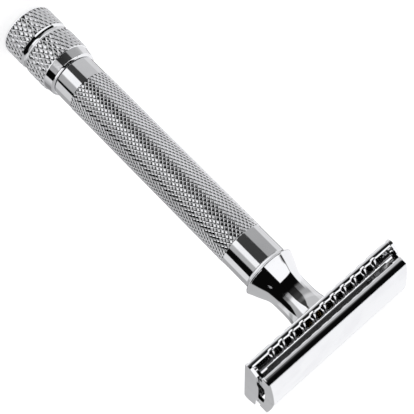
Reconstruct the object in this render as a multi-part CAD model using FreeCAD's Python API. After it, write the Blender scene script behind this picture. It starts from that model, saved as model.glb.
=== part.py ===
import FreeCAD
import Part
import math
import os

# A twist-to-open safety razor, upright on the flat end of its knob.
# Z runs up the handle to the head, X along the head, Y from the rear door to the front door.
# The origin is the middle of the knob's end face. All sizes are millimetres.

Vector = FreeCAD.Vector
UP = Vector(0, 0, 1)
ALONG_HEAD = Vector(1, 0, 0)
ORIGIN = Vector(0, 0, 0)

# Driving dimensions of the handle
KNOB_RADIUS = 7.5
KNOB_LENGTH = 18.85
GRIP_RADIUS = 6.32
FERRULE_RADIUS = 6.2
FERRULE_LENGTH = 6.3
BARREL_START = 18.95
NECK_START = 90.7
BARREL_BORE = 4.6
LIP_RADIUS = 7.27
NECK_RADIUS = 4.73

# Driving dimensions of the head
HEAD_LENGTH = 44.8
HEAD_WIDTH = 24.5
GUARD_BOTTOM = 107.5
RIDGE_HEIGHT = 3.7
RIM_HEIGHT = 4.9
HEAD_HEIGHT = 8.83
PLATE = 0.8
LUG_PITCH = 3.2
LUG_COUNT = 11
SLOT_LENGTH = 1.85

# Driving dimensions of the motion
DOOR_SWING = 80.0
STUB_START = -30.0
STUB_REACH = 2.3
PIVOT_Y = 10.2
PIVOT_Z = 109.6
EAR_ROOM_Y = -11.75
LEVER_ROOM_Y = -7.2
FORK_ROOM_Y = (-9.35, -5.8)

# Fits and small sizes
PRESS_GAP = 0.01
RUNNING_GAP = 0.06
SIDE_GAP = 0.1
ROD_RADIUS = 1.5
SLEEVE_RADIUS = 3.4
PIN_RADIUS = 0.4
CLIP_GROOVE_LOW = 27.1
CLIP_GROOVE_HIGH = 27.7
CLIP_GROOVE_DEPTH = 0.4
STUB_RADIUS = 0.35
SPIGOT_RADIUS = 3.0
STEP_RADIUS = 1.1

# Heights and places that follow from them
CAP_INNER_X = HEAD_LENGTH / 2 - PLATE
EDGE_Y = HEAD_WIDTH / 2
FLOOR_TOP = GUARD_BOTTOM + PLATE
BELOW_GUARD = GUARD_BOTTOM - 1
RIDGE_TOP = GUARD_BOTTOM + RIDGE_HEIGHT
RIM_BOTTOM = GUARD_BOTTOM + RIM_HEIGHT
HEAD_TOP = GUARD_BOTTOM + HEAD_HEIGHT
BLADE_BOTTOM = RIDGE_TOP + 0.2
BAR_UNDERSIDE = BLADE_BOTTOM - 1.0
HOLE_X = 10.5
EAR_OUTER_X = CAP_INNER_X - SIDE_GAP
EAR_INNER_X = EAR_OUTER_X - 0.75
FORK_OUTER_X = EAR_INNER_X - 0.2
FORK_INNER_X = FORK_OUTER_X - 0.8
DOOR_END_X = CAP_INNER_X + 0.15


def lathe(outline):
    """A solid of revolution about Z from (radius, height) corners."""
    corners = [Vector(r, 0, z) for r, z in outline]
    face = Part.Face(Part.makePolygon(corners + corners[:1]))
    return face.revolve(ORIGIN, UP, 360)


def ring(outer, inner, low, high):
    """A plain ring about Z."""
    return lathe([(inner, low), (outer, low), (outer, high), (inner, high)])


def block(x_span, y_span, z_span):
    """A box between low and high values along each axis."""
    spans = (x_span, y_span, z_span)
    low = Vector(*[min(span) for span in spans])
    sides = [abs(span[1] - span[0]) for span in spans]
    return Part.makeBox(*sides, low)


def prism(face_edges, x_start, x_end):
    """A section drawn in the YZ plane, pushed along X."""
    face = Part.Face(Part.Wire(face_edges))
    face.translate(Vector(x_start, 0, 0))
    return face.extrude(Vector(x_end - x_start, 0, 0))


def outline(*steps):
    """Edges in the YZ plane: (y, z) is a straight step, (y, z, y, z) an arc by its middle."""
    edges = []
    start = Vector(0, *steps[0])
    for step in steps[1:] + (steps[0],):
        end = Vector(0, *step[-2:])
        if len(step) == 4:
            edges.append(Part.Arc(start, Vector(0, *step[:2]), end).toShape())
        else:
            edges.append(Part.makeLine(start, end))
        start = end
    return edges


def bar_along_x(radius, x_start, x_end, y, z):
    """A round bar parallel to X."""
    length = abs(x_end - x_start)
    return Part.makeCylinder(radius, length, Vector(min(x_start, x_end), y, z), ALONG_HEAD)


def flip_x(shape):
    return shape.mirror(ORIGIN, Vector(1, 0, 0))


def flip_y(shape):
    return shape.mirror(ORIGIN, Vector(0, 1, 0))


def on_both_sides(shape):
    """The shape and its mirror image across the head's long middle plane."""
    return [shape, flip_y(shape)]


def at_all_corners(shape):
    """The shape repeated in the four corners of the head."""
    return on_both_sides(shape) + on_both_sides(flip_x(shape))


# ---------------------------------------------------------------- handle


def handle_barrel():
    """The grip tube: a knurled length between two smooth ferrules."""
    edge = 0.25
    grip_low = BARREL_START + FERRULE_LENGTH
    grip_high = 82.15
    return lathe([
        (BARREL_BORE, BARREL_START),
        (FERRULE_RADIUS - edge, BARREL_START),
        (FERRULE_RADIUS, BARREL_START + edge),
        (FERRULE_RADIUS, grip_low),
        (GRIP_RADIUS, grip_low + edge / 2),
        (GRIP_RADIUS, grip_high - edge / 2),
        (FERRULE_RADIUS, grip_high),
        (FERRULE_RADIUS, NECK_START),
        (BARREL_BORE, NECK_START),
    ])


def neck_bell():
    """The flared collar, its waisted neck and the spigots at both ends."""
    spigot_low = NECK_START - 7.0
    spigot_radius = BARREL_BORE - PRESS_GAP
    bore = ROD_RADIUS + RUNNING_GAP
    lip_z = NECK_START + 1.1
    top_radius = NECK_RADIUS + 1.05
    stub_top = FLOOR_TOP + 1.1

    def at(radius, height):
        return Vector(radius, 0, height)

    flare = Part.Arc(at(FERRULE_RADIUS, NECK_START), at(6.55, NECK_START + 0.55),
                     at(LIP_RADIUS - 0.15, lip_z - 0.2)).toShape()
    lip = Part.Arc(at(LIP_RADIUS - 0.15, lip_z - 0.2), at(LIP_RADIUS, lip_z),
                   at(LIP_RADIUS - 0.1, lip_z + 0.3)).toShape()
    bell = Part.BSplineCurve()
    bell.interpolate([
        at(LIP_RADIUS - 0.1, lip_z + 0.3),
        at(6.74, 93.1),
        at(6.18, 94.4),
        at(5.53, 95.8),
        at(5.02, 97.0),
        at(4.80, 98.3),
        at(NECK_RADIUS, 100.4),
        at(5.02, 105.0),
        at(top_radius, GUARD_BOTTOM),
    ])
    corners = [
        at(top_radius, GUARD_BOTTOM),
        at(SPIGOT_RADIUS, GUARD_BOTTOM),
        at(SPIGOT_RADIUS, stub_top),
        at(bore, stub_top),
        at(bore, spigot_low),
        at(spigot_radius, spigot_low),
        at(spigot_radius, NECK_START),
        at(FERRULE_RADIUS, NECK_START),
    ]
    straight = [Part.makeLine(a, b) for a, b in zip(corners, corners[1:])]
    wire = Part.Wire([flare, lip, bell.toShape()] + straight)
    return Part.Face(wire).revolve(ORIGIN, UP, 360)


def guide_bush():
    """The brass bush in the barrel's lower end, in which the knob's sleeve turns."""
    length = 8.0
    return ring(BARREL_BORE - PRESS_GAP, SLEEVE_RADIUS + RUNNING_GAP, BARREL_START, BARREL_START + length)


def spring_washer():
    """The cone-shaped spring washer that gives the knob its drag."""
    inner = SLEEVE_RADIUS + 0.2
    outer = 5.1
    low = 17.95
    cone = 0.5
    thickness = 0.45
    return lathe([
        (inner, low + cone),
        (inner, low + cone + thickness),
        (outer, low + thickness),
        (outer, low),
    ])


# ---------------------------------------------------------------- knob


def knob():
    """The twist knob: two grip bands, a groove between them and a skirt up to the barrel."""
    edge = 0.35
    groove_radius = KNOB_RADIUS - 0.4
    groove_low = 7.1
    groove_high = 8.8
    groove_side = 0.3
    band_high = 15.7
    skirt_radius = FERRULE_RADIUS + 0.1
    outer = [
        (0, 0),
        (KNOB_RADIUS - edge, 0),
        (KNOB_RADIUS, edge),
        (KNOB_RADIUS, groove_low - groove_side),
        (groove_radius, groove_low),
        (groove_radius, groove_high),
        (KNOB_RADIUS, groove_high + groove_side),
        (KNOB_RADIUS, band_high),
        (KNOB_RADIUS - 0.3, band_high + 0.15),
        (skirt_radius + 0.78, 17.7),
        (skirt_radius + 0.62, 18.3),
        (skirt_radius + 0.3, 18.7),
        (skirt_radius, KNOB_LENGTH),
    ]
    washer_seat = 17.2
    washer_room = 5.3
    sleeve_seat = 2.5
    bored = [
        (washer_room, KNOB_LENGTH),
        (washer_room, washer_seat),
        (SLEEVE_RADIUS, washer_seat),
        (SLEEVE_RADIUS, sleeve_seat),
        (0, sleeve_seat),
    ]
    return lathe(outer + bored)


def knob_sleeve():
    """The threaded brass sleeve: pressed into the knob, it turns in the guide bush."""
    low = 2.6
    high = 28.6
    thread = ROD_RADIUS + RUNNING_GAP
    radius = SLEEVE_RADIUS - PRESS_GAP
    return lathe([
        (thread, low),
        (radius, low),
        (radius, CLIP_GROOVE_LOW),
        (radius - CLIP_GROOVE_DEPTH, CLIP_GROOVE_LOW),
        (radius - CLIP_GROOVE_DEPTH, CLIP_GROOVE_HIGH),
        (radius, CLIP_GROOVE_HIGH),
        (radius, high),
        (thread, high),
    ])


def knob_circlip():
    """The open clip in the sleeve's groove that keeps the knob on the barrel."""
    outer = 4.1
    half_mouth = 1.1
    play = 0.05
    clip = ring(outer, SLEEVE_RADIUS - CLIP_GROOVE_DEPTH, CLIP_GROOVE_LOW + play, CLIP_GROOVE_HIGH - play)
    mouth = block((0, outer + 1), (-half_mouth, half_mouth), (CLIP_GROOVE_LOW, CLIP_GROOVE_HIGH))
    return clip.cut(mouth)


def thrust_washer():
    """The flat washer between the knob and the spring washer."""
    outer = 5.2
    low = 17.21
    high = 17.9
    return ring(outer, SLEEVE_RADIUS + 0.05, low, high)


# ---------------------------------------------------------------- fixed part of the head


def slope_section():
    """Half of the guard's section: bar, slope, ridge and floor on the front side."""
    bead = 0.9
    bead_y = -EDGE_Y + 0.15 + bead
    bead_z = GUARD_BOTTOM + bead
    return outline(
        (0, GUARD_BOTTOM),
        (bead_y, GUARD_BOTTOM),
        (bead_y - bead, bead_z, bead_y - 0.647, bead_z + 0.625),
        (-10.08, RIDGE_TOP - 0.45),
        (-9.88, RIDGE_TOP - 0.08),
        (-9.81, RIDGE_TOP - 0.02, -9.7, RIDGE_TOP),
        (-9.45, RIDGE_TOP),
        (-9.35, RIDGE_TOP - 0.1),
        (-9.35, FLOOR_TOP),
        (0, FLOOR_TOP),
    )


def guard_cuts():
    """What is cut from the guard's front half: slots between the lugs, end channels, room for the ears."""
    bar_back = -11.4
    ridge_front = -10.02
    ridge_back = -9.2
    above = RIDGE_TOP + 1
    cuts = []
    for index in range(LUG_COUNT - 1):
        middle = (index - (LUG_COUNT - 2) / 2) * LUG_PITCH
        span = (middle - SLOT_LENGTH / 2, middle + SLOT_LENGTH / 2)
        cuts.append(block(span, (bar_back, ridge_back), (BELOW_GUARD, RIDGE_TOP - 0.65)))
        cuts.append(block(span, (bar_back, ridge_front), (GUARD_BOTTOM, above)))
    last_lug = (LUG_COUNT - 1) / 2 * LUG_PITCH + (LUG_PITCH - SLOT_LENGTH) / 2
    for side in (-1, 1):
        channel = (side * last_lug, side * (EAR_INNER_X - SIDE_GAP))
        cuts.append(block(channel, (bar_back, ridge_front), (FLOOR_TOP + 0.2, above)))
        ear_room = (side * (EAR_INNER_X - SIDE_GAP), side * (CAP_INNER_X + 1))
        cuts.append(block(ear_room, (EAR_ROOM_Y, 1), (FLOOR_TOP, above)))
        cuts.append(block(ear_room, (EAR_ROOM_Y, LEVER_ROOM_Y), (BELOW_GUARD, FLOOR_TOP + 1)))
        fork_room = (side * (FORK_INNER_X - 0.15), side * EAR_INNER_X)
        cuts.append(block(fork_room, FORK_ROOM_Y, (BELOW_GUARD, FLOOR_TOP + 1)))
    return cuts


def guard_plate():
    """The scalloped guard: a floor with a slotted slope and a rounded bar along both edges."""
    half = prism(slope_section(), -CAP_INNER_X, CAP_INNER_X)
    scallop_radius = 1.3
    scallop_height = 1.3
    for index in range(LUG_COUNT):
        x = (index - (LUG_COUNT - 1) / 2) * LUG_PITCH
        middle = Vector(x, -EDGE_Y + scallop_radius, GUARD_BOTTOM + 0.3)
        half = half.fuse(Part.makeCylinder(scallop_radius, scallop_height, middle, UP))
    half = half.cut(guard_cuts())
    plate = half.fuse(flip_y(half)).removeSplitter()
    neck_hole = Part.makeCylinder(SPIGOT_RADIUS + PRESS_GAP, 3, Vector(0, 0, BELOW_GUARD), UP)
    rivet_holes = [rivet_at(x, y, 0) for x, y in rivet_places()]
    return plate.cut([neck_hole] + rivet_holes)


def guard_ring_nut():
    """The slotted ring nut that holds the guard on the neck."""
    outer = 4.3
    thickness = 1.0
    half_notch = 0.5
    nut = ring(outer, SPIGOT_RADIUS + PRESS_GAP, FLOOR_TOP, FLOOR_TOP + thickness)
    for turn in (0, 90):
        notch = block((-outer - 1, outer + 1), (-half_notch, half_notch),
                      (FLOOR_TOP + thickness / 2, FLOOR_TOP + thickness + 1))
        notch.rotate(ORIGIN, UP, turn)
        nut = nut.cut(notch)
    return nut


def rivet_places():
    """Middles of the four rivets under the end caps' feet."""
    x = CAP_INNER_X - 0.65
    y = 3.0
    return [(sx * x, sy * y) for sx in (-1, 1) for sy in (-1, 1)]


def rivet_at(x, y, clearance):
    """One rivet: a countersunk head in the floor and a shank up into the foot."""
    shank = 0.5
    sink = 0.35
    top = FLOOR_TOP + 0.9 - clearance
    rivet = lathe([
        (0, GUARD_BOTTOM),
        (shank + sink, GUARD_BOTTOM),
        (shank, GUARD_BOTTOM + sink),
        (shank, top),
        (0, top),
    ])
    rivet.translate(Vector(x, y, 0))
    return rivet


def end_cap_rivets():
    clearance = 0.02
    return Part.makeCompound([rivet_at(x, y, clearance) for x, y in rivet_places()])


def end_cap():
    """The end plate on the +X side, with the foot by which it is riveted to the guard."""
    shield = outline(
        (-EDGE_Y + 0.9, GUARD_BOTTOM),
        (-EDGE_Y + 0.264, GUARD_BOTTOM + 0.264, -EDGE_Y, GUARD_BOTTOM + 0.9),
        (-EDGE_Y, GUARD_BOTTOM + 1.7),
        (-10.95, RIDGE_TOP + 0.05),
        (-6.1, RIDGE_TOP + 0.3),
        (-5.1, RIDGE_TOP + 0.8),
        (0, RIDGE_TOP + 0.9, 5.1, RIDGE_TOP + 0.8),
        (6.1, RIDGE_TOP + 0.3),
        (10.95, RIDGE_TOP + 0.05),
        (EDGE_Y, GUARD_BOTTOM + 1.7),
        (EDGE_Y, GUARD_BOTTOM + 0.9),
        (EDGE_Y - 0.264, GUARD_BOTTOM + 0.264, EDGE_Y - 0.9, GUARD_BOTTOM),
    )
    plate = prism(shield, CAP_INNER_X, HEAD_LENGTH / 2)
    foot_length = 1.3
    foot_half_width = 5.0
    foot_height = 1.2
    foot = block((CAP_INNER_X - foot_length, CAP_INNER_X), (-foot_half_width, foot_half_width),
                 (FLOOR_TOP, FLOOR_TOP + foot_height))
    holes = [rivet_at(x, y, 0) for x, y in rivet_places()]
    pin_holes = [pin_at(side) for side in (-1, 1)]
    return plate.fuse(foot).cut(holes + pin_holes)


def pin_at(side):
    """A hinge pin on the +X end: side -1 is the front door's, side 1 the rear door's."""
    return bar_along_x(PIN_RADIUS, EAR_INNER_X, CAP_INNER_X + 0.5, side * PIVOT_Y, PIVOT_Z)


def hinge_pins():
    return Part.makeCompound(at_all_corners(pin_at(-1)))


# ---------------------------------------------------------------- doors


def door_skin():
    """The curved front door, from its rim to the ridge line."""
    section = outline(
        (-10.76, RIM_BOTTOM),
        (-10.917, RIM_BOTTOM + 0.235, -11.02, RIM_BOTTOM + 0.499),
        (-11.089, RIM_BOTTOM + 0.845, -11.112, RIM_BOTTOM + 1.198),
        (-11.074, RIM_BOTTOM + 1.632, -10.961, RIM_BOTTOM + 2.053),
        (-10.853, RIM_BOTTOM + 2.213, -10.682, RIM_BOTTOM + 2.304),
        (-5.36, HEAD_TOP - 0.56, -0.03, HEAD_TOP),
        (-0.03, HEAD_TOP - 1.03),
        (-4.7, HEAD_TOP - 1.71, -9.2, HEAD_TOP - 2.63),
        (-10.0, RIM_BOTTOM + 0.95, -10.35, RIM_BOTTOM),
    )
    return prism(section, -DOOR_END_X, DOOR_END_X)


def door_end_wall():
    """The wall that closes the +X end of the front door, with its shallow arch."""
    section = outline(
        (-10.5, RIM_BOTTOM),
        (-8.9, RIM_BOTTOM),
        (-8.8, RIM_BOTTOM - 0.75),
        (-5.9, RIM_BOTTOM - 0.75),
        (-5.4, RIM_BOTTOM + 0.85),
        (-2.7, RIM_BOTTOM + 1.15, -0.03, RIM_BOTTOM + 1.2),
        (-0.03, HEAD_TOP - 0.5),
        (-9.0, RIM_BOTTOM + 1.9),
    )
    return prism(section, DOOR_END_X - PLATE, DOOR_END_X)


def stub_place(degrees):
    """Where the drive stub is when its arm points this way from the front hinge."""
    angle = math.radians(degrees)
    return (-PIVOT_Y + STUB_REACH * math.cos(angle), PIVOT_Z + STUB_REACH * math.sin(angle))


def door_ear():
    """The ear at the +X end of the front door: hinge eye, arm and drive stub."""
    eye_radius = 0.76
    lever_half_width = 0.5
    bore_radius = PIN_RADIUS + 0.04
    stub_y, stub_z = stub_place(STUB_START)
    arm = prism(outline(
        (-PIVOT_Y - 0.45, PIVOT_Z),
        (-PIVOT_Y + 0.6, PIVOT_Z),
        (-PIVOT_Y + 1.0, RIM_BOTTOM + 0.8),
        (-PIVOT_Y - 0.3, RIM_BOTTOM + 0.8),
    ), EAR_INNER_X, EAR_OUTER_X)
    lever = block((EAR_INNER_X, EAR_OUTER_X), (-PIVOT_Y, -PIVOT_Y + STUB_REACH),
                  (-lever_half_width, lever_half_width))
    lever.translate(Vector(0, 0, PIVOT_Z))
    lever.rotate(Vector(0, -PIVOT_Y, PIVOT_Z), ALONG_HEAD, STUB_START)
    eye = bar_along_x(eye_radius, EAR_INNER_X, EAR_OUTER_X, -PIVOT_Y, PIVOT_Z)
    lever_end = bar_along_x(lever_half_width, EAR_INNER_X, EAR_OUTER_X, stub_y, stub_z)
    stub = bar_along_x(STUB_RADIUS, FORK_INNER_X + SIDE_GAP, EAR_INNER_X, stub_y, stub_z)
    bore = bar_along_x(bore_radius, EAR_INNER_X - 1, EAR_OUTER_X + 1, -PIVOT_Y, PIVOT_Z)
    return arm.fuse([lever, eye, lever_end, stub]).cut(bore)


def door():
    """The whole front door, closed."""
    end = door_end_wall().fuse(door_ear())
    return door_skin().fuse([end, flip_x(end)]).removeSplitter()


# ---------------------------------------------------------------- lifting parts


def center_bar():
    """The channel-shaped bar that lifts the blade, with a fork at each corner for the doors."""
    half_width = 6.4
    flange_x = FORK_OUTER_X - 2
    flange_height = 0.9
    flange_thickness = 0.5
    fork_tip_y = -9.1
    mouth_back_y = -7.3
    half_mouth = 0.5
    bar = block((-FORK_OUTER_X, FORK_OUTER_X), (-half_width, half_width), (BAR_UNDERSIDE, BLADE_BOTTOM))
    flange = block((-flange_x, flange_x), (-half_width, -half_width + flange_thickness),
                   (BAR_UNDERSIDE - flange_height, BAR_UNDERSIDE))
    stub_y, stub_z = stub_place(STUB_START)
    fork = block((FORK_INNER_X, FORK_OUTER_X), (fork_tip_y, -6.0),
                 (GUARD_BOTTOM + 0.05, BAR_UNDERSIDE + 0.4))
    mouth = block((0, HEAD_LENGTH), (fork_tip_y - 1, mouth_back_y),
                  (stub_z - half_mouth, stub_z + half_mouth))
    fork = fork.cut(mouth)
    bar = bar.fuse(on_both_sides(flange) + at_all_corners(fork)).removeSplitter()
    rod_hole = Part.makeCylinder(STEP_RADIUS + PRESS_GAP, 3, Vector(0, 0, BAR_UNDERSIDE - 1), UP)
    return bar.cut(rod_hole)


def blade_locator():
    """The low rail with two round studs that fits the blade's long opening."""
    half_length = 17.5
    half_width = 0.8
    rail_height = 0.6
    stud_radius = 1.5
    stud_height = 0.9
    rail = block((-half_length, half_length), (-half_width, half_width),
                 (BLADE_BOTTOM, BLADE_BOTTOM + rail_height))
    studs = [Part.makeCylinder(stud_radius, stud_height, Vector(x, 0, BLADE_BOTTOM), UP)
             for x in (-HOLE_X, HOLE_X)]
    return rail.fuse(studs).removeSplitter()


def razor_blade():
    """A double-edge blade: cutting edges along Y, holding tabs at both ends."""
    thickness = 0.1
    edge_y = 10.9
    edge_x = 18.7
    tab_x = 21.45
    tab_y = 6.3
    slot_x = 18.0
    slot_y = 0.9
    eye_radius = 1.8
    span = (BLADE_BOTTOM, BLADE_BOTTOM + thickness)
    body = block((-edge_x, edge_x), (-edge_y, edge_y), span)
    tabs = block((-tab_x, tab_x), (-tab_y, tab_y), span)
    slot = block((-slot_x, slot_x), (-slot_y, slot_y), (span[0] - 1, span[1] + 1))
    eyes = [Part.makeCylinder(eye_radius, 3, Vector(x, 0, BLADE_BOTTOM - 1), UP) for x in (-HOLE_X, HOLE_X)]
    return body.fuse(tabs).removeSplitter().cut([slot] + eyes)


def drive_rod():
    """The rod between knob and center bar: threaded below, stepped for the bar above."""
    low = 6.0
    thread_high = 32.0
    pitch = 1.27
    depth = 0.35
    profile = [(0, low), (ROD_RADIUS - depth, low)]
    for turn in range(int((thread_high - low) / pitch)):
        root = low + turn * pitch
        profile.append((ROD_RADIUS - depth, root + 0.25))
        profile.append((ROD_RADIUS, root + 0.6))
        profile.append((ROD_RADIUS, root + 0.85))
        profile.append((ROD_RADIUS - depth, root + 1.2))
    profile += [
        (ROD_RADIUS - depth, thread_high),
        (ROD_RADIUS, thread_high + 0.4),
        (ROD_RADIUS, BAR_UNDERSIDE),
        (STEP_RADIUS, BAR_UNDERSIDE),
        (STEP_RADIUS, BLADE_BOTTOM),
        (0, BLADE_BOTTOM),
    ]
    return lathe(profile)


def rod_nut():
    """The hexagonal lock nut under the center bar."""
    across_flats = 5.0
    low = FLOOR_TOP + 1.15
    corner = across_flats / math.sqrt(3)
    angles = [math.radians(60 * k) for k in range(7)]
    corners = [Vector(corner * math.cos(a), corner * math.sin(a), low) for a in angles]
    nut = Part.Face(Part.makePolygon(corners)).extrude(UP * (BAR_UNDERSIDE - low))
    hole = Part.makeCylinder(ROD_RADIUS + PRESS_GAP, 5, Vector(0, 0, FLOOR_TOP), UP)
    return nut.cut(hole)


def build():
    """Write each sub-part to its own file."""
    front = door()
    right_cap = end_cap()
    shapes = {
        "handle_barrel": handle_barrel(),
        "neck_bell": neck_bell(),
        "guide_bush": guide_bush(),
        "spring_washer": spring_washer(),
        "knob": knob(),
        "knob_sleeve": knob_sleeve(),
        "knob_circlip": knob_circlip(),
        "thrust_washer": thrust_washer(),
        "guard_plate": guard_plate(),
        "guard_ring_nut": guard_ring_nut(),
        "end_cap_right": right_cap,
        "end_cap_left": flip_x(right_cap),
        "end_cap_rivets": end_cap_rivets(),
        "hinge_pins": hinge_pins(),
        "door_front": front,
        "door_rear": flip_y(front),
        "center_bar": center_bar(),
        "blade_locator": blade_locator(),
        "razor_blade": razor_blade(),
        "drive_rod": drive_rod(),
        "rod_nut": rod_nut(),
    }
    os.makedirs("parts", exist_ok=True)
    for name, shape in shapes.items():
        shape.exportStep("parts/" + name + ".step")
        print(name, shape.isValid(), len(shape.Solids), round(shape.Volume, 2), shape.BoundBox)
    return shapes


if __name__ == "__main__":
    build()
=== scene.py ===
import math

import bmesh
import bpy
import numpy as np
from mathutils import Matrix, Vector

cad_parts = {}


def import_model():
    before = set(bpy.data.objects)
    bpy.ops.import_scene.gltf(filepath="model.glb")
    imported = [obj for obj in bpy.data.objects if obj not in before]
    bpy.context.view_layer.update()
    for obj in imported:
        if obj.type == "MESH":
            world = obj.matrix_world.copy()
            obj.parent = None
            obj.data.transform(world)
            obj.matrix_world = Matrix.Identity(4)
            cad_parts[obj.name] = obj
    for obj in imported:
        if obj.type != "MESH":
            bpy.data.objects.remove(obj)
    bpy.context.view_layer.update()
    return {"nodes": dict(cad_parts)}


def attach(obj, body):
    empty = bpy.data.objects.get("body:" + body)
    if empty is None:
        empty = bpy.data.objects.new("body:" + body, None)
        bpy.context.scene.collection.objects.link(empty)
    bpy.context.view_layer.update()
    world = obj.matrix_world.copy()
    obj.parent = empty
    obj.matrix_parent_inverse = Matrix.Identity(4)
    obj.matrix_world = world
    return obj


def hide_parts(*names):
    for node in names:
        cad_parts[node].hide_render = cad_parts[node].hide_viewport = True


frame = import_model()

MM = 0.001
TURN = 2 * math.pi
RING = 240

# Sizes of the CAD model that the rebuilt pieces repeat, in millimetres
KNOB_RADIUS = 7.5
KNOB_LENGTH = 18.85
GRIP_RADIUS = 6.32
FERRULE_RADIUS = 6.2
BARREL_START = 18.95
GRIP_LOW = 25.25
GRIP_HIGH = 82.15
NECK_START = 90.7
BARREL_BORE = 4.6
SLEEVE_ROOM_RADIUS = 5.3
SLEEVE_ROOM_START = 17.2
SLEEVE_BORE = 3.4
SLEEVE_START = 2.5
LIP_RADIUS = 7.27
LIP_Z = 91.8
SPIGOT_RADIUS = 3.0
SPIGOT_TOP = 109.4
ROD_BORE = 1.56
TAIL_START = 83.7
TAIL_RADIUS = 4.59
GUARD_BOTTOM = 107.5
FLOOR_TOP = 108.3
RIDGE_TOP = 111.2
RIDGE_BACK_Y = -9.35
RIM_BOTTOM = 112.4
HEAD_TOP = 116.33
EDGE_Y = 12.25
LUG_PITCH = 3.2
LUG_COUNT = 11
PIVOT_Y = 10.2
PIVOT_Z = 109.6
EYE_RADIUS = 0.76
EYE_BORE = 0.44
LEVER_HALF_WIDTH = 0.5
STUB_REACH = 2.3
STUB_RADIUS = 0.35
STUB_START = -30
EAR_INNER_X = 20.75
EAR_OUTER_X = 21.5
DOOR_END_X = 21.75
DOOR_SEAM_Y = -0.03
GUARD_END_X = 21.8
EAR_ROOM_X = EAR_INNER_X - 0.1
BELOW_GUARD = GUARD_BOTTOM - 1
ABOVE_RIDGE = RIDGE_TOP + 1

# Sizes of the finish, which only these pieces have
GRIP_KNURL_DEPTH = 0.12
KNOB_KNURL_DEPTH = 0.15
LAND_DEPTH = 0.02
DOOR_END_ROUND = 0.65
RIM_CURL = 0.2
LUG_FLAT = 0.05
LUG_ROUND = 1.0
LUG_HALF = 0.8
SLOT_HALF = 0.8
SLOT_FRONT = -11.8
SLOT_BACK = -10.03
BAR_FOOT_Y = 0.95 - EDGE_Y
BAR_DEPTH = 0.8
BAR_UNDER_HEIGHT = 0.85
BAR_FRONT_Z = GUARD_BOTTOM + 1.15
BROW = (-10.04, RIDGE_TOP - 0.5)

# The camera, in metres and degrees, its focal length and the studio's radius, in millimetres
CAMERA_AZIMUTH = 15.9
CAMERA_REACH = 0.30344
CAMERA_HEIGHT = 0.1706552
CAMERA_TARGET = (-0.00044, 0, 0.06927)
CAMERA_ROLL = 135.113
CAMERA_LENS = 114.299
STUDIO_RADIUS = 6000


# ---------------------------------------------------------------- profiles


def arc_through(start, middle, end, steps):
    """Points of the arc from start through middle to end, without the start."""
    (ax, ay), (bx, by), (cx, cy) = start, middle, end
    d = 2 * (ax * (by - cy) + bx * (cy - ay) + cx * (ay - by))
    sa, sb, sc = ax * ax + ay * ay, bx * bx + by * by, cx * cx + cy * cy
    ux = (sa * (by - cy) + sb * (cy - ay) + sc * (ay - by)) / d
    uy = (sa * (cx - bx) + sb * (ax - cx) + sc * (bx - ax)) / d
    radius = math.hypot(ax - ux, ay - uy)
    first = math.atan2(ay - uy, ax - ux)
    mid = (math.atan2(by - uy, bx - ux) - first) % TURN
    last = (math.atan2(cy - uy, cx - ux) - first) % TURN
    if mid > last:
        last -= TURN
    return [(ux + radius * math.cos(first + last * k / steps),
             uy + radius * math.sin(first + last * k / steps)) for k in range(1, steps + 1)]


def path(start, *steps, arc_steps=24):
    """A polyline: (a, b) is a straight step, (a, b, c, d) an arc through (a, b) to (c, d)."""
    points = [start]
    for step in steps:
        if len(step) == 4:
            points += arc_through(points[-1], step[:2], step[2:], arc_steps)
        else:
            points.append(step)
    return points


def filleted(corners, steps=5):
    """Corners as (a, b) or (a, b, radius); those with a radius are rounded off."""
    points = []
    count = len(corners)
    for i, corner in enumerate(corners):
        here = np.array(corner[:2], float)
        if len(corner) == 2 or i in (0, count - 1):
            points.append(tuple(here))
            continue
        before = np.array(corners[i - 1][:2], float) - here
        after = np.array(corners[i + 1][:2], float) - here
        reach_before, reach_after = np.linalg.norm(before), np.linalg.norm(after)
        before, after = before / reach_before, after / reach_after
        half = math.acos(max(-1, min(1, float(before @ after)))) / 2
        cut = min(corner[2] / math.tan(half), 0.48 * reach_before, 0.48 * reach_after)
        radius = cut * math.tan(half)
        inward = (before + after) / np.linalg.norm(before + after)
        centre = here + inward * radius / math.sin(half)
        start, end = here + before * cut - centre, here + after * cut - centre
        first = math.atan2(start[1], start[0])
        sweep = (math.atan2(end[1], end[0]) - first + math.pi) % TURN - math.pi
        for k in range(steps + 1):
            angle = first + sweep * k / steps
            points.append((centre[0] + radius * math.cos(angle),
                           centre[1] + radius * math.sin(angle)))
    return points


def spline_through(points, steps):
    """A smooth curve through the points, from one natural cubic spline per coordinate."""
    p = np.array(points, float)
    span = np.linalg.norm(np.diff(p, axis=0), axis=1)
    t = np.concatenate([[0], np.cumsum(span)])
    n = len(p)
    system = np.eye(n)
    right = np.zeros((n, 2))
    for i in range(1, n - 1):
        system[i, i - 1:i + 2] = [span[i - 1], 2 * (span[i - 1] + span[i]), span[i]]
        right[i] = 6 * ((p[i + 1] - p[i]) / span[i] - (p[i] - p[i - 1]) / span[i - 1])
    bend = np.linalg.solve(system, right)
    made = []
    for s in np.linspace(0, t[-1], steps):
        i = min(max(int(np.searchsorted(t, s)) - 1, 0), n - 2)
        h, a, b = span[i], t[i + 1] - s, s - t[i]
        made.append(tuple(bend[i] * a ** 3 / (6 * h) + bend[i + 1] * b ** 3 / (6 * h)
                          + (p[i] / h - bend[i] * h / 6) * a
                          + (p[i + 1] / h - bend[i + 1] * h / 6) * b))
    return made


# ---------------------------------------------------------------- meshes


def ring_at(bm, radius, z):
    """A ring of vertices round the Z axis."""
    angles = [TURN * k / RING for k in range(RING)]
    return [bm.verts.new((radius * math.cos(a), radius * math.sin(a), z)) for a in angles]


def join_rings(bm, one, two):
    """Quads between two rings of equal count."""
    for k in range(len(one)):
        j = (k + 1) % len(one)
        bm.faces.new((one[k], one[j], two[j], two[k]))


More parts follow.
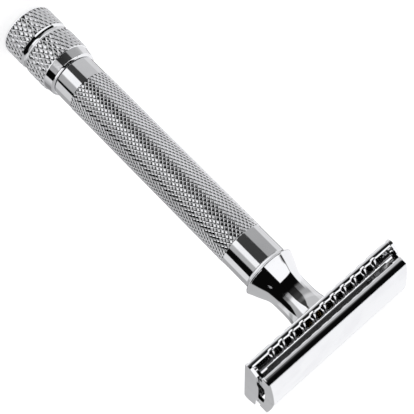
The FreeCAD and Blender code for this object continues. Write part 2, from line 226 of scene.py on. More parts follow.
def angle_of(vert):
    return math.atan2(vert.co.y, vert.co.x) % TURN


def zip_rings(bm, one, two):
    """Triangles between two rings of different counts, matched by angle."""
    one, two = sorted(one, key=angle_of), sorted(two, key=angle_of)
    a, b = len(one), len(two)
    i = j = 0
    while i < a or j < b:
        next_one = angle_of(one[(i + 1) % a]) + (TURN if i + 1 >= a else 0) if i < a else 9e9
        next_two = angle_of(two[(j + 1) % b]) + (TURN if j + 1 >= b else 0) if j < b else 9e9
        if next_one <= next_two:
            bm.faces.new((one[i % a], one[(i + 1) % a], two[j % b]))
            i += 1
        else:
            bm.faces.new((two[(j + 1) % b], two[j % b], one[i % a]))
            j += 1


def turned(bm, profile):
    """A run of rings along a profile of (radius, z). Gives the first and the last ring,
    or None at a pole."""
    first = last = None
    pole = None
    for index, (radius, z) in enumerate(profile):
        if radius < 1e-9:
            tip = bm.verts.new((0, 0, z))
            if last:
                for k in range(RING):
                    bm.faces.new((last[k], last[(k + 1) % RING], tip))
            pole = tip
            last = None
            continue
        here = ring_at(bm, radius, z)
        if pole:
            for k in range(RING):
                bm.faces.new((here[(k + 1) % RING], here[k], pole))
            pole = None
        elif last:
            join_rings(bm, last, here)
        if index == 0:
            first = here
        last = here
    return first, last


# How a knurl's cell is divided, and how high it stands there
CELL_CUTS = [0, 0.05, 0.26, 0.74, 0.95]
CELL_HEIGHTS = [0, 0.08, 1, 1, 0.08]


def knurl(bm, radius, low, high, row, lean, depth, phase=0.0, starts=36):
    """A band of raised diamonds. row is the axial step, lean the share of the pitch that one
    flank leans back. Writes how deep each vertex lies, 0 to 1, as "hollow".
    Gives the ragged rings at the band's two ends."""
    pitch = TURN * radius / starts
    sub = len(CELL_CUTS)
    back, on = -lean * pitch, (1 - lean) * pitch
    own = bmesh.new()
    own_hollow = own.verts.layers.float.new("hollow")
    hollow = bm.verts.layers.float.get("hollow") or bm.verts.layers.float.new("hollow")
    made = {}

    def vert(i, j):
        turns = j // (starts * sub)
        key = (i + turns * starts * sub, j - turns * starts * sub)
        if key not in made:
            i, j = key
            a, b = i // sub + CELL_CUTS[i % sub], j // sub + CELL_CUTS[j % sub]
            rise = min(CELL_HEIGHTS[i % sub], CELL_HEIGHTS[j % sub])
            angle = phase + (back * a + on * b) / radius
            r = radius - depth * (1 - rise)
            place = (r * math.cos(angle), r * math.sin(angle), low + row * (a + b))
            made[key] = own.verts.new(place)
            made[key][own_hollow] = 1 - rise
        return made[key]

    for u in range(-2, int((high - low) / row) + 3):
        for v in range(starts):
            for k in range(sub):
                for m in range(sub):
                    i, j = (u - v) * sub + k, v * sub + m
                    corners = (vert(i, j), vert(i + 1, j), vert(i + 1, j + 1), vert(i, j + 1))
                    if 2 in (k, m):
                        own.faces.new(corners)
                    elif (k < 2) == (m < 2):
                        own.faces.new(corners[:3])
                        own.faces.new((corners[0], corners[2], corners[3]))
                    else:
                        own.faces.new((corners[0], corners[1], corners[3]))
                        own.faces.new(corners[1:])
    for place, way in ((low, -1), (high, 1)):
        geometry = own.verts[:] + own.edges[:] + own.faces[:]
        bmesh.ops.bisect_plane(own, geom=geometry, dist=1e-5, plane_co=(0, 0, place),
                               plane_no=(0, 0, way), clear_outer=True)
    bmesh.ops.remove_doubles(own, verts=own.verts[:], dist=2e-3)
    loose = [v for v in own.verts if not v.link_faces]
    bmesh.ops.delete(own, geom=loose, context="VERTS")
    copy = {v: bm.verts.new(v.co) for v in own.verts}
    for old, new in copy.items():
        new[hollow] = old[own_hollow]
    for face in own.faces:
        bm.faces.new([copy[v] for v in face.verts])
    rim = {v for e in own.edges if e.is_boundary for v in e.verts}
    ends = [[copy[v] for v in rim if abs(v.co.z - place) < 0.01] for place in (low, high)]
    own.free()
    return ends


def object_from(bm, name):
    """A finished mesh object, scaled from millimetres to metres."""
    bmesh.ops.remove_doubles(bm, verts=bm.verts[:], dist=1e-5)
    bmesh.ops.recalc_face_normals(bm, faces=bm.faces[:])
    for vert in bm.verts:
        vert.co *= MM
    mesh = bpy.data.meshes.new(name)
    bm.to_mesh(mesh)
    bm.free()
    made = bpy.data.objects.new(name, mesh)
    bpy.context.scene.collection.objects.link(made)
    return made


def shade(piece, sharp_degrees):
    """Smooth shading that stays sharp at edges steeper than this."""
    mesh = piece.data
    mesh.shade_smooth()
    mesh.set_sharp_from_angle(angle=math.radians(sharp_degrees))


def weigh_normals(piece):
    """Large faces keep their own normals, so that flats stay flat beside small rounds."""
    weighted = piece.modifiers.new("even_normals", "WEIGHTED_NORMAL")
    weighted.mode = "FACE_AREA"
    weighted.weight = 50
    weighted.keep_sharp = True


def round_edges(piece, width, segments=3, degrees=32):
    """Rounded edges where the faces meet at more than this angle."""
    bevel = piece.modifiers.new("rounded_edges", "BEVEL")
    bevel.width = width * MM
    bevel.segments = segments
    bevel.limit_method = "ANGLE"
    bevel.angle_limit = math.radians(degrees)
    bevel.use_clamp_overlap = True
    bevel.miter_outer = "MITER_ARC"


def finish_piece(piece, body, slot, material, *nodes):
    piece.data.materials.clear()
    piece.data.materials.append(material)
    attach(piece, body)
    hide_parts(*nodes)
    return piece


def loft(bm, places, sections):
    """YZ sections of equal count, one at each X place, joined into a closed solid."""
    rings = [[bm.verts.new((x, y, z)) for y, z in section] for x, section in zip(places, sections)]
    for one, two in zip(rings, rings[1:]):
        join_rings(bm, one, two)
    bm.faces.new(rings[0])
    bm.faces.new(rings[-1][::-1])


def at_both_ends(section, x_low, x_high, name):
    """A YZ section pushed along X at the right end of the head, and its mirror image."""
    bm = bmesh.new()
    loft(bm, (x_low, x_high), (section, section))
    loft(bm, (-x_high, -x_low), (section, section))
    return object_from(bm, name)


def blocks(spans, name):
    """Several boxes in one object, each given as (x, x, y, y, z, z)."""
    bm = bmesh.new()
    for x_low, x_high, y_low, y_high, z_low, z_high in spans:
        corners = [(y_low, z_low), (y_high, z_low), (y_high, z_high), (y_low, z_high)]
        loft(bm, (x_low, x_high), (corners, corners))
    return object_from(bm, name)


def disc(y, z, radius, steps=40):
    return [(y + radius * math.cos(TURN * k / steps), z + radius * math.sin(TURN * k / steps))
            for k in range(steps)]


def mirrored(piece):
    """The piece's mesh, turned into its mirror image across the head's long middle plane."""
    piece.data.transform(Matrix.Diagonal((1, -1, 1, 1)))
    piece.data.flip_normals()
    return piece


def boolean(piece, others, operation):
    """Joins or cuts piece with the others, which are used up."""
    for other in others:
        step = piece.modifiers.new("step", "BOOLEAN")
        step.operation = operation
        step.solver = "EXACT"
        step.object = other
        graph = bpy.context.evaluated_depsgraph_get()
        mesh = bpy.data.meshes.new_from_object(piece.evaluated_get(graph))
        piece.modifiers.clear()
        piece.data = mesh
        bpy.data.objects.remove(other)
    return piece


def tidy_faces(piece):
    """Flat areas become single faces, so that only true edges are left. The angle is small
    enough to keep a finely divided curve."""
    bm = bmesh.new()
    bm.from_mesh(piece.data)
    bmesh.ops.remove_doubles(bm, verts=bm.verts[:], dist=2e-6)
    bmesh.ops.dissolve_limit(bm, angle_limit=math.radians(0.04), verts=bm.verts[:],
                             edges=bm.edges[:])
    bm.to_mesh(piece.data)
    bm.free()


# ---------------------------------------------------------------- materials


class Nodes:
    """Adds nodes to a tree and links them, with numbers or sockets as inputs."""

    def __init__(self, tree):
        self.tree = tree

    def add(self, kind, inputs=(), **settings):
        node = self.tree.nodes.new(kind)
        for key, value in settings.items():
            setattr(node, key, value)
        for key, value in dict(inputs).items():
            self.put(node.inputs[key], value)
        return node

    def put(self, socket, value):
        if isinstance(value, bpy.types.NodeSocket):
            self.tree.links.new(value, socket)
        else:
            socket.default_value = value

    def math(self, operation, *values):
        node = self.add("ShaderNodeMath", operation=operation)
        for socket, value in zip(node.inputs, values):
            self.put(socket, value)
        return node.outputs[0]

    def ramp(self, value, low, high, to_low=0.0, to_high=1.0):
        """Goes smoothly from to_low to to_high as value goes from low to high."""
        inputs = {"Value": value, "From Min": low, "From Max": high,
                  "To Min": to_low, "To Max": to_high}
        return self.add("ShaderNodeMapRange", inputs, interpolation_type="SMOOTHSTEP").outputs[0]

    def mix(self, one, two, share):
        """one where share is 0, two where it is 1."""
        return self.math("ADD", self.math("MULTIPLY", one, self.math("SUBTRACT", 1.0, share)),
                         self.math("MULTIPLY", two, share))

    def noise(self, vector, scale, detail=2.0, roughness=0.5):
        inputs = {"Vector": vector, "Scale": scale, "Detail": detail, "Roughness": roughness}
        return self.add("ShaderNodeTexNoise", inputs).outputs["Fac"]

    def stretched(self, vector, scale):
        return self.add("ShaderNodeMapping", {"Vector": vector, "Scale": scale}).outputs[0]

    def colour_mix(self, one, two, share):
        node = self.add("ShaderNodeMix", data_type="RGBA")
        self.put(node.inputs[0], share)
        self.put(node.inputs[6], one)
        self.put(node.inputs[7], two)
        return node.outputs[2]


def metal(name, colour, dark, roughness, spread, bump, stretch=(1, 1, 1), grain=900.0, groove_shade_and_grime=0.0):
    """A metal whose colour, gloss and surface vary a little. Roughness goes from roughness to
    roughness + spread. The last argument lays painted shade in a knurl's deepest grooves,
    partly standing for grime, which makes them darker and rougher."""
    material = bpy.data.materials.new(name)
    material.use_nodes = True
    nodes = Nodes(material.node_tree)
    shader = material.node_tree.nodes["Principled BSDF"]
    shader.inputs["Metallic"].default_value = 1.0
    place = nodes.add("ShaderNodeTexCoord").outputs["Object"]
    cloud = nodes.noise(place, 140.0, 3.0)
    fine = nodes.noise(nodes.stretched(place, stretch), grain, 4.0, 0.6)
    wear = nodes.ramp(cloud, 0.42, 0.68)
    tint = nodes.colour_mix((*colour, 1), (*dark, 1), nodes.math("MULTIPLY", wear, 0.55))
    rough = nodes.ramp(fine, 0.35, 0.75, roughness, roughness + spread)
    # Painted shade in the knurl's deepest grooves, partly standing for grime: they turn darker and
    # rougher.
    if groove_shade_and_grime:
        hollow = nodes.add("ShaderNodeAttribute", attribute_name="hollow").outputs["Fac"]
        low = nodes.ramp(hollow, 0.55, 1.0)
        share = nodes.math("MULTIPLY", low, nodes.ramp(cloud, 0.2, 0.7, 0.6 * groove_shade_and_grime, groove_shade_and_grime))
        tint = nodes.colour_mix(tint, (0.1, 0.1, 0.1, 1), share)
        rough = nodes.math("ADD", rough, nodes.math("MULTIPLY", share, 0.15))
    nodes.put(shader.inputs["Base Color"], tint)
    nodes.put(shader.inputs["Roughness"], rough)
    height = nodes.mix(cloud, fine, 0.4)
    surface = nodes.add("ShaderNodeBump", {"Strength": bump, "Distance": 0.00002, "Height": height})
    nodes.put(shader.inputs["Normal"], surface.outputs[0])
    return material


CHROME = (0.87, 0.875, 0.885)
CHROME_DARK = (0.80, 0.80, 0.82)

polished = metal("polished_chrome", CHROME, CHROME_DARK, 0.025, 0.03, 0.12, grain=2200.0)
turned_chrome = metal("turned_chrome", CHROME, CHROME_DARK, 0.03, 0.04, 0.15, (1, 1, 14), 700.0)
# The knurl's grooves get painted shade, partly standing for grime.
knurled_chrome = metal("knurled_chrome", CHROME, CHROME_DARK, 0.04, 0.05, 0.2,
                       grain=1500.0, groove_shade_and_grime=0.15)
plated = metal("plated_steel", (0.74, 0.73, 0.71), (0.62, 0.61, 0.6), 0.12, 0.12, 0.3,
               grain=1300.0)
steel = metal("turned_steel", (0.55, 0.55, 0.56), (0.4, 0.4, 0.41), 0.2, 0.15, 0.4,
              (1, 1, 20), 500.0)
spring = metal("blued_steel", (0.16, 0.18, 0.24), (0.1, 0.11, 0.14), 0.22, 0.15, 0.4,
               (1, 1, 8), 600.0)
# Painted shade: the blade's steel is near-black so that it stands for the shade under the doors.
blade = metal("blade_steel", (0.15, 0.15, 0.15), (0.12, 0.12, 0.12), 0.1, 0.1, 0.25,
              (0.2, 6, 1), 900.0)
brass = metal("machined_brass", (0.80, 0.58, 0.27), (0.62, 0.42, 0.18), 0.18, 0.16, 0.4,
              (1, 1, 20), 500.0)


# ---------------------------------------------------------------- handle


def barrel_piece():
    """The grip tube: two polished ferrules and a diamond-knurled length between them."""
    bm = bmesh.new()
    land = GRIP_RADIUS - GRIP_KNURL_DEPTH - LAND_DEPTH
    low_end, high_end = knurl(bm, GRIP_RADIUS, GRIP_LOW, GRIP_HIGH, 0.82, 0.4426,
                              GRIP_KNURL_DEPTH, phase=-0.9)
    lower = filleted([
        (BARREL_BORE, GRIP_LOW + 1),
        (BARREL_BORE, BARREL_START, 0.15),
        (FERRULE_RADIUS, BARREL_START, 0.22),
        (FERRULE_RADIUS, GRIP_LOW - 0.12, 0.1),
        (land, GRIP_LOW - 0.02),
    ])
    upper = filleted([
        (land, GRIP_HIGH + 0.02),
        (FERRULE_RADIUS, GRIP_HIGH + 0.12, 0.1),
        (FERRULE_RADIUS, NECK_START, 0.12),
        (BARREL_BORE, NECK_START, 0.1),
        (BARREL_BORE, GRIP_LOW + 1),
    ])
    _, last = turned(bm, lower)
    zip_rings(bm, last, low_end)
    first, _ = turned(bm, upper)
    zip_rings(bm, high_end, first)
    return object_from(bm, "grip_tube")


def knob_piece():
    """The twist knob: two knurled bands, the groove between them and the polished skirt."""
    bm = bmesh.new()
    bands = [knurl(bm, KNOB_RADIUS, low, high, 1.153, 0.5, KNOB_KNURL_DEPTH, phase=phase)
             for low, high, phase in ((0.45, 6.8, 0.0), (9.1, 15.7, 0.03))]
    land = KNOB_RADIUS - KNOB_KNURL_DEPTH - LAND_DEPTH
    shoulder = KNOB_RADIUS - 0.12
    base = filleted([(0, 0), (KNOB_RADIUS - 0.32, 0, 0.2), (land, 0.43)])
    groove = path((shoulder, 6.9), (shoulder - 0.4, 7.95, shoulder, 9.0))
    middle = [(land, 6.82), *groove, (land, 9.08)]
    skirt = filleted([
        (land, 15.72),
        (7.14, 15.86, 0.05),
        (6.91, 18.45, 0.2),
        (6.62, 18.72, 0.12),
        (6.3, KNOB_LENGTH, 0.1),
        (SLEEVE_ROOM_RADIUS, KNOB_LENGTH, 0.1),
        (SLEEVE_ROOM_RADIUS, SLEEVE_ROOM_START),
        (SLEEVE_BORE, SLEEVE_ROOM_START),
        (SLEEVE_BORE, SLEEVE_START),
        (0, SLEEVE_START),
    ])
    _, last = turned(bm, base)
    zip_rings(bm, last, bands[0][0])
    first, last = turned(bm, middle)
    zip_rings(bm, bands[0][1], first)
    zip_rings(bm, last, bands[1][0])
    first, _ = turned(bm, skirt)
    zip_rings(bm, bands[1][1], first)
    return object_from(bm, "twist_knob")


def bell_piece():
    """The flared collar under the head, its lip and its waisted neck."""
    bm = bmesh.new()
    start, lip_low, lip_high = (FERRULE_RADIUS, NECK_START), (7.12, 91.6), (7.17, 92.1)
    bell = spline_through([lip_high, (6.74, 93.1), (6.18, 94.4), (5.53, 95.8), (5.02, 97.0),
                           (4.80, 98.3), (4.73, 100.4), (5.02, 105.0), (5.78, GUARD_BOTTOM)], 110)
    flare = arc_through(start, (6.55, 91.25), lip_low, 10)
    lip = arc_through(lip_low, (LIP_RADIUS, LIP_Z), lip_high, 10)
    inside = [(SPIGOT_RADIUS, GUARD_BOTTOM), (SPIGOT_RADIUS, SPIGOT_TOP), (ROD_BORE, SPIGOT_TOP),
              (ROD_BORE, TAIL_START), (TAIL_RADIUS, TAIL_START), (TAIL_RADIUS, NECK_START)]
    profile = [start] + flare + lip + bell[1:] + inside
    first, last = turned(bm, profile)
    join_rings(bm, last, first)
    return object_from(bm, "neck")


def show(piece, body, slot, material, node, sharp, rounded=None):
    """Shades a piece, rounds its edges by this width if one is given, and puts it in the
    CAD node's place."""
    shade(piece, sharp)
    if rounded:
        round_edges(piece, rounded)
    weigh_normals(piece)
    finish_piece(piece, body, slot, material, node)


show(barrel_piece(), "frame", "knurled_chrome", knurled_chrome, "handle_barrel", 28)
show(knob_piece(), "knob", "knurled_chrome", knurled_chrome, "knob", 28)
show(bell_piece(), "frame", "polished_chrome", turned_chrome, "neck_bell", 40)


# ---------------------------------------------------------------- head


def copy_of(node, name):
    """A copy of a CAD node's mesh as a new piece."""
    piece = bpy.data.objects.new(name, frame["nodes"][node].data.copy())
    bpy.context.scene.collection.objects.link(piece)
    tidy_faces(piece)
    return piece


def partner(points, count):
    """count points evenly along a polyline."""
    p = np.array(points)
    run = np.concatenate([[0], np.cumsum(np.linalg.norm(np.diff(p, axis=0), axis=1))])
    at = np.linspace(0, run[-1], count)
    return np.column_stack([np.interp(at, run, p[:, 0]), np.interp(at, run, p[:, 1])])


def door_skin():
    """The front door's curved shell, whose outer face rounds over at both ends."""
    outer = path((-10.76, RIM_BOTTOM - RIM_CURL),
                 (-10.93, RIM_BOTTOM + 0.04, -11.03, RIM_BOTTOM + 0.32),
                 (-11.1, RIM_BOTTOM + 0.7, -11.115, RIM_BOTTOM + 1.1),
                 (-11.105, RIM_BOTTOM + 1.6, -11.06, RIM_BOTTOM + 2.02),
                 (-11.02, RIM_BOTTOM + 2.2, -10.88, RIM_BOTTOM + 2.28), arc_steps=10)
    outer += arc_through(outer[-1], (-5.36, HEAD_TOP - 0.56), (DOOR_SEAM_Y, HEAD_TOP), 48)
    inner = path((-10.35, RIM_BOTTOM - RIM_CURL),
                 (-10.0, RIM_BOTTOM + 0.95, -9.2, HEAD_TOP - 2.63),
                 (-4.7, HEAD_TOP - 1.71, DOOR_SEAM_Y, HEAD_TOP - 1.03), arc_steps=16)
    skin, inner = partner(outer, 110), partner(inner, 110)
    toward = inner - skin
    thickness = np.linalg.norm(toward, axis=1)[:, None]
    places, sections = [], []
    for k in range(9):
        angle = math.pi / 2 * k / 8
        inset = np.minimum(DOOR_END_ROUND * (1 - math.cos(angle)), 0.7 * thickness)
        places.append(DOOR_END_X - DOOR_END_ROUND * (1 - math.sin(angle)))
        section = np.vstack([skin + toward / thickness * inset, inner[::-1]])
        sections.append([tuple(p) for p in section])
    bm = bmesh.new()
    loft(bm, [-x for x in places[::-1]] + places, sections[::-1] + sections)
    return object_from(bm, "door_shell_front")


def lever_outline(stub_y, stub_z, angle):
    """A bar with round ends from the door's pivot to its stub."""
    made = []
    for y, z, first in ((-PIVOT_Y, PIVOT_Z, angle + TURN / 4), (stub_y, stub_z, angle - TURN / 4)):
        turns = [first + TURN / 2 * k / 12 for k in range(13)]
        made += [(y + LEVER_HALF_WIDTH * math.cos(a), z + LEVER_HALF_WIDTH * math.sin(a))
                 for a in turns]
    return made


def door_piece():
    """The front door, closed: its shell, an arched wall at each end, and an ear with eye,
    lever and stub."""
    wall = path((-10.4, RIM_BOTTOM), (-8.9, RIM_BOTTOM), (-8.8, RIM_BOTTOM - 0.75),
                (-5.9, RIM_BOTTOM - 0.75), (-5.4, RIM_BOTTOM + 0.85),
                (-2.7, RIM_BOTTOM + 1.15, DOOR_SEAM_Y, RIM_BOTTOM + 1.2),
                (DOOR_SEAM_Y, HEAD_TOP - 0.8), (-9.0, RIM_BOTTOM + 1.75), (-10.3, RIM_BOTTOM + 0.9))
    arm = [(-PIVOT_Y - 0.45, PIVOT_Z), (-PIVOT_Y + 0.6, PIVOT_Z),
           (-PIVOT_Y + 1.0, RIM_BOTTOM + 0.8), (-PIVOT_Y - 0.3, RIM_BOTTOM + 0.8)]
    angle = math.radians(STUB_START)
    stub_y = -PIVOT_Y + STUB_REACH * math.cos(angle)
    stub_z = PIVOT_Z + STUB_REACH * math.sin(angle)
    lever = lever_outline(stub_y, stub_z, angle)
    eye, stub = disc(-PIVOT_Y, PIVOT_Z, EYE_RADIUS), disc(stub_y, stub_z, STUB_RADIUS)
    door = door_skin()
    joined = [
        at_both_ends(wall, DOOR_END_X - 0.8, DOOR_END_X, "wall"),
        at_both_ends(arm, EAR_INNER_X, EAR_OUTER_X, "arm"),
        at_both_ends(eye, EAR_INNER_X, EAR_OUTER_X, "eye"),
        at_both_ends(lever, EAR_INNER_X, EAR_OUTER_X, "lever"),
        at_both_ends(stub, EAR_INNER_X - 0.9, EAR_INNER_X + 0.2, "stub"),
    ]
    boolean(door, joined, "UNION")
    bore = disc(-PIVOT_Y, PIVOT_Z, EYE_BORE)
    boolean(door, [at_both_ends(bore, EAR_INNER_X - 0.2, EAR_OUTER_X + 0.1, "bore")], "DIFFERENCE")
    tidy_faces(door)
    return door


def smooth(value):
    """0 to 1, going smoothly as value does."""
    value = min(1.0, max(0.0, value))
    return value * value * (3 - 2 * value)


def guard_slope(x):
    """The guard's section in front of its floor, at x: the bar, the lugs' rounded slope and the
    ridge. At the lugs the bar's front turns back lower down, so that they run over it."""
    index = min(max(round(x / LUG_PITCH), -(LUG_COUNT // 2)), LUG_COUNT // 2)
    off = min(abs(x - index * LUG_PITCH), LUG_PITCH / 2)
    lug = 1 - smooth((off - 0.35) / 0.6)
    past_flat = max(0.0, min(off, LUG_HALF) - LUG_FLAT)
    sag = LUG_ROUND - math.sqrt(LUG_ROUND ** 2 - past_flat ** 2)
    made = [(BAR_FOOT_Y, GUARD_BOTTOM)]
    for k in range(1, 13):
        angle = TURN / 4 * k / 12
        made.append((BAR_FOOT_Y - BAR_DEPTH * math.sin(angle),
                     GUARD_BOTTOM + BAR_UNDER_HEIGHT * (1 - math.cos(angle))))
    made.append((made[-1][0], BAR_FRONT_Z - 0.29 * lug))
    # The bar's front is two arcs of (radius, degrees, points), the first tighter at the lugs
    tilt = 0.0
    for radius, bend, steps in ((0.7 - 0.3 * lug, 17, 4), (1.2, 28, 7)):
        for _ in range(steps):
            before, tilt = tilt, tilt + math.radians(bend) / steps
            made.append((made[-1][0] + radius * (math.cos(before) - math.cos(tilt)),
                         made[-1][1] + radius * (math.sin(tilt) - math.sin(before))))
    foot = made[-1]
    run = math.hypot(BROW[0] - foot[0], BROW[1] - foot[1])
    along_y, along_z = (BROW[0] - foot[0]) / run, (BROW[1] - foot[1]) / run
    # Points up the slope, closer together at its ends, sunk where a lug's shoulder rounds over
    for share in (0.04, 0.09, 0.15, 0.22, 0.3, 0.6, 0.9, 1.2, 1.5, 1.75, 1.9, 2.0):
        reach = share * run / 2.1
        sunk = sag * smooth(reach / 0.26) * smooth((run - reach) / 0.2)
        made.append((foot[0] + along_y * reach + along_z * sunk,
                     foot[1] + along_z * reach - along_y * sunk))
    made += [BROW, (-9.885, RIDGE_TOP - 0.06)]
    made += arc_through(made[-1], (-9.82, RIDGE_TOP - 0.012), (-9.74, RIDGE_TOP), 3)
    made += [(RIDGE_BACK_Y - 0.1, RIDGE_TOP), (RIDGE_BACK_Y, RIDGE_TOP - 0.1),
             (RIDGE_BACK_Y, FLOOR_TOP), (RIDGE_BACK_Y + 0.2, FLOOR_TOP),
             (RIDGE_BACK_Y + 0.2, GUARD_BOTTOM)]
    return made


def slope_places():
    """Where along X the guard's sections stand, close together over each lug's shoulders."""
    steps = [0.1, 0.3, 0.44, 0.56, 0.66, 0.74, LUG_HALF]
    steps = [-step for step in steps[::-1]] + steps + [1.2]
    lugs = range(-(LUG_COUNT // 2), LUG_COUNT // 2 + 1)
    over_lugs = [index * LUG_PITCH + step for index in lugs for step in steps]
    return [-GUARD_END_X, -20.6, -17.2] + over_lugs + [20.6, GUARD_END_X]


def guard_piece():
    """The guard plate: the CAD floor between two slotted slopes with round-shouldered lugs."""
    places = slope_places()
    bm = bmesh.new()
    loft(bm, places, [guard_slope(x) for x in places])
    slope = object_from(bm, "guard_slope")
    slots, under = [], []
    for index in range(LUG_COUNT - 1):
        middle = (index - (LUG_COUNT - 2) / 2) * LUG_PITCH
        span = (middle - SLOT_HALF, middle + SLOT_HALF)
        slots.append((*span, SLOT_FRONT, SLOT_BACK, BELOW_GUARD, ABOVE_RIDGE))
        under.append((*span, SLOT_FRONT, -9, BELOW_GUARD, RIDGE_TOP - 0.65))
    last = (LUG_COUNT - 1) / 2 * LUG_PITCH + LUG_PITCH / 2 - SLOT_HALF
    rooms = []
    for side in (-1, 1):
        channel = sorted((side * last, side * EAR_ROOM_X))
        slots.append((*channel, SLOT_FRONT, SLOT_BACK, FLOOR_TOP + 0.2, ABOVE_RIDGE))
        room = sorted((side * EAR_ROOM_X, side * (GUARD_END_X + 1)))
        rooms.append((*room, SLOT_FRONT, -7.2, BELOW_GUARD, ABOVE_RIDGE))
    cuts = [blocks(slots, "slots"), blocks(under, "slots_below"), blocks(rooms, "rooms")]
    boolean(slope, cuts, "DIFFERENCE")
    other = mirrored(bpy.data.objects.new("other", slope.data.copy()))
    bpy.context.scene.collection.objects.link(other)
    plate = copy_of("guard_plate", "guard")
    far, join_y = 30.0, 9.25
    outside = [(-far, far, y, y + far, GUARD_BOTTOM - 5, HEAD_TOP) for y in (-join_y - far, join_y)]
    boolean(plate, [blocks(outside, "outside")], "DIFFERENCE")
    boolean(plate, [slope, other], "UNION")
    tidy_faces(plate)
    return plate


front_shell = door_piece()
rear_shell = mirrored(bpy.data.objects.new("door_shell_rear", front_shell.data.copy()))
bpy.context.scene.collection.objects.link(rear_shell)
for piece, body, node, width in (
        (front_shell, "door_front", "door_front", 0.06),
        (rear_shell, "door_rear", "door_rear", 0.06),
        (guard_piece(), "frame", "guard_plate", 0.03),
        (copy_of("end_cap_right", "end_plate_right"), "frame", "end_cap_right", 0.12),
        (copy_of("end_cap_left", "end_plate_left"), "frame", "end_cap_left", 0.12)):
    show(piece, body, "polished_chrome", polished, node, 32, width)

finishes = {
    "guide_bush": brass,
    "spring_washer": spring,
    "guard_ring_nut": brass,
    "end_cap_rivets": steel,
    "hinge_pins": steel,
    "knob_sleeve": brass,
    "knob_circlip": spring,
    "thrust_washer": brass,
    "center_bar": plated,
    "blade_locator": plated,
    "razor_blade": blade,
    "drive_rod": steel,
    "rod_nut": brass,
}
for node, material in finishes.items():
    frame["nodes"][node].data.materials.clear()
    frame["nodes"][node].data.materials.append(material)


# ---------------------------------------------------------------- studio


def plain_material(name, colour, glow):
    """Matt paper that also gives off a little light."""
    material = bpy.data.materials.new(name)
    material.use_nodes = True
    shader = material.node_tree.nodes["Principled BSDF"]
    shader.inputs["Base Color"].default_value = (*colour, 1)
    shader.inputs["Roughness"].default_value = 0.9
    shader.inputs["Emission Color"].default_value = (1, 1, 1, 1)
    shader.inputs["Emission Strength"].default_value = glow
    return material


def backdrop():
    """A wide pale floor and a white dome, which the polished metal doesn't mirror."""
    bm = bmesh.new()
    bmesh.ops.create_circle(bm, cap_ends=True, segments=96, radius=STUDIO_RADIUS,
                            matrix=Matrix.Translation((0, 0, -0.05)))
    floor = object_from(bm, "floor")
    floor.data.materials.append(plain_material("floor_paper", (0.9, 0.9, 0.9), 0.55))
    bm = bmesh.new()
    bmesh.ops.create_uvsphere(bm, u_segments=64, v_segments=32, radius=STUDIO_RADIUS - 100)
    dome = object_from(bm, "studio_wall")
    dome.data.materials.append(plain_material("wall_paper", (0, 0, 0), 1.0))
    for piece in (floor, dome):
        piece.visible_glossy = False
    dome.visible_diffuse = False
    dome.visible_shadow = False


def tone(shown):
    """The light that polished chrome turns into this shown brightness."""
    return ((shown + 0.055) / 1.055) ** 2.4 / 0.87


# Light from below, in bands round the object in the order of their side angles: the angle at
# which each begins at the first and at the second height, its shown brightness at both, and how
# soft its edge is
LOW_HEIGHTS = (-15.5, -26.0)
LOW_BANDS = (
    (-119, -119, 0.86, 0.80, 5.0),
    (-84, -78, 0.03, 0.03, 1.5),
    (-51, -64, 0.68, 0.65, 2.0),
    (-29, -32, 0.96, 0.97, 4.0),
    (-5, 1, 0.23, 0.23, 1.5),
    (45, 34, 0.63, 0.74, 2.0),
    (106, 106, 0.84, 0.82, 3.0),
    (157, 157, 0.10, 0.10, 2.0),
)
LOW_FIRST, LOW_LAST = 0.64, 0.10
BLACK, WHITE = 0.03, 0.97
HORIZON = -12.5


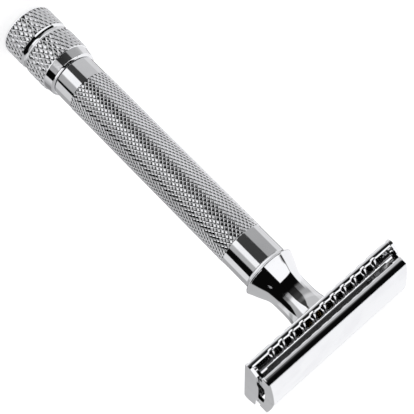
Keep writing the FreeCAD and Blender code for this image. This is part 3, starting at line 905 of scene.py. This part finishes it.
def studio_light():
    """Light by direction: black cards in front, a soft box above, white and grey paper below
    and behind. A side angle is the camera's azimuth less the direction's, in degrees."""
    world = bpy.data.worlds.new("studio")
    bpy.context.scene.world = world
    world.use_nodes = True
    n = Nodes(world.node_tree)
    direction = n.add("ShaderNodeTexCoord").outputs["Generated"]
    x, y, z = n.add("ShaderNodeSeparateXYZ", {0: direction}).outputs
    degrees = 180 / math.pi
    azimuth = n.math("MULTIPLY", n.math("ARCTAN2", x, n.math("MULTIPLY", y, -1.0)), degrees)
    turned_to = n.math("SUBTRACT", CAMERA_AZIMUTH + 540.0, azimuth)
    side = n.math("SUBTRACT", n.math("MODULO", turned_to, 360.0), 180.0)
    height = n.math("MULTIPLY", n.math("ARCSINE", z), degrees)

    def past(value, edge, soft=1.5):
        """0 below the edge and 1 above it, going smoothly."""
        return n.ramp(n.math("SUBTRACT", value, edge), -soft, soft)

    def before(value, edge, soft=1.5):
        return n.math("SUBTRACT", 1.0, past(value, edge, soft))

    def inside(value, low, high, soft=1.5):
        return n.math("MULTIPLY", past(value, low, soft), before(value, high, soft))

    def card(under, shown, sides, heights, soft=1.5):
        """Lays a patch of this brightness over what is under it."""
        area = n.math("MULTIPLY", inside(side, *sides, soft), inside(height, *heights, soft))
        return n.mix(under, tone(shown), area)

    upper = card(tone(BLACK), 0.98, (0.0, 86.0), (22.0, 58.0))
    rear = card(tone(0.95), 0.70, (-165.0, -60.0), (-90.0, 100.0), 3.0)
    upper = n.mix(upper, rear, past(n.math("ABSOLUTE", side), 89.0, 3.0))
    overhead = n.mix(tone(BLACK), tone(WHITE), before(side, -18.0, 5.0))
    upper = n.mix(upper, overhead,
                  n.math("MULTIPLY", past(height, 62.0, 3.0), past(side, -150.0, 5.0)))
    upper = card(upper, WHITE, (-95.0, -20.0), (48.0, 100.0), 3.0)

    first, second = LOW_HEIGHTS
    span = n.add("ShaderNodeMapRange",
                 {"Value": height, "From Min": first, "From Max": second, "To Max": 1.0})
    span.clamp = False
    fall = n.math("MINIMUM", n.math("MAXIMUM", span.outputs[0], 0.0), 2.2)
    lower = tone(LOW_FIRST)
    for begins, ends, shown_high, shown_low, soft in LOW_BANDS:
        edge = n.mix(float(begins), float(ends), fall)
        band = n.mix(tone(shown_high), tone(shown_low), n.math("MINIMUM", fall, 1.0))
        lower = n.mix(lower, band, past(side, edge, soft))
    lower = n.mix(lower, tone(LOW_LAST), before(side, -168.0, 2.0))

    # Between those heights, where hardly anything but the grip mirrors it, the light is more even
    even = inside(height, -24.0, -18.0)
    lift = n.math("ADD", n.ramp(side, -50.0, -30.0, 0.0, 0.06),
                  n.ramp(side, 20.0, 60.0, 0.0, 0.35))
    lower = n.mix(lower, tone(0.92), n.math("MULTIPLY", even, lift))
    dim = n.math("MULTIPLY", even, n.ramp(side, -95.0, -75.0, 0.5, 0.0))
    lower = n.mix(lower, tone(0.35), dim)

    # Pale paper under the object
    for edge, shown, soft in ((-46.0, 0.84, 4.0), (-64.0, WHITE, 4.0)):
        lower = n.mix(lower, tone(shown), before(height, edge, soft))

    value = n.mix(lower, upper, past(height, HORIZON))
    blue = n.math("MULTIPLY", value, 1.015)
    colour = n.add("ShaderNodeCombineColor", {0: value, 1: value, 2: blue}).outputs[0]
    background = world.node_tree.nodes["Background"]
    n.put(background.inputs["Color"], colour)
    background.inputs["Strength"].default_value = 1.0


def place_camera():
    """The camera at the photograph's viewing angle, rolled so that the handle lies across the
    picture."""
    data = bpy.data.cameras.new("camera")
    camera = bpy.data.objects.new("camera", data)
    bpy.context.scene.collection.objects.link(camera)
    around = math.radians(CAMERA_AZIMUTH)
    location = Vector((CAMERA_REACH * math.sin(around), -CAMERA_REACH * math.cos(around),
                       CAMERA_HEIGHT))
    forward = (Vector(CAMERA_TARGET) - location).normalized()
    level = forward.cross(Vector((0, 0, 1))).normalized()
    upright = level.cross(forward)
    roll = math.radians(CAMERA_ROLL)
    right = math.cos(roll) * level + math.sin(roll) * upright
    up = -math.sin(roll) * level + math.cos(roll) * upright
    turn = Matrix((right, up, -forward)).transposed().to_4x4()
    camera.matrix_world = Matrix.Translation(location) @ turn
    data.sensor_width = 36.0
    data.lens = CAMERA_LENS
    data.clip_start = 0.01
    data.clip_end = 100.0
    bpy.context.scene.camera = camera


backdrop()
studio_light()
place_camera()
bpy.context.scene.view_settings.view_transform = "Standard"
bpy.context.scene.view_settings.look = "None"
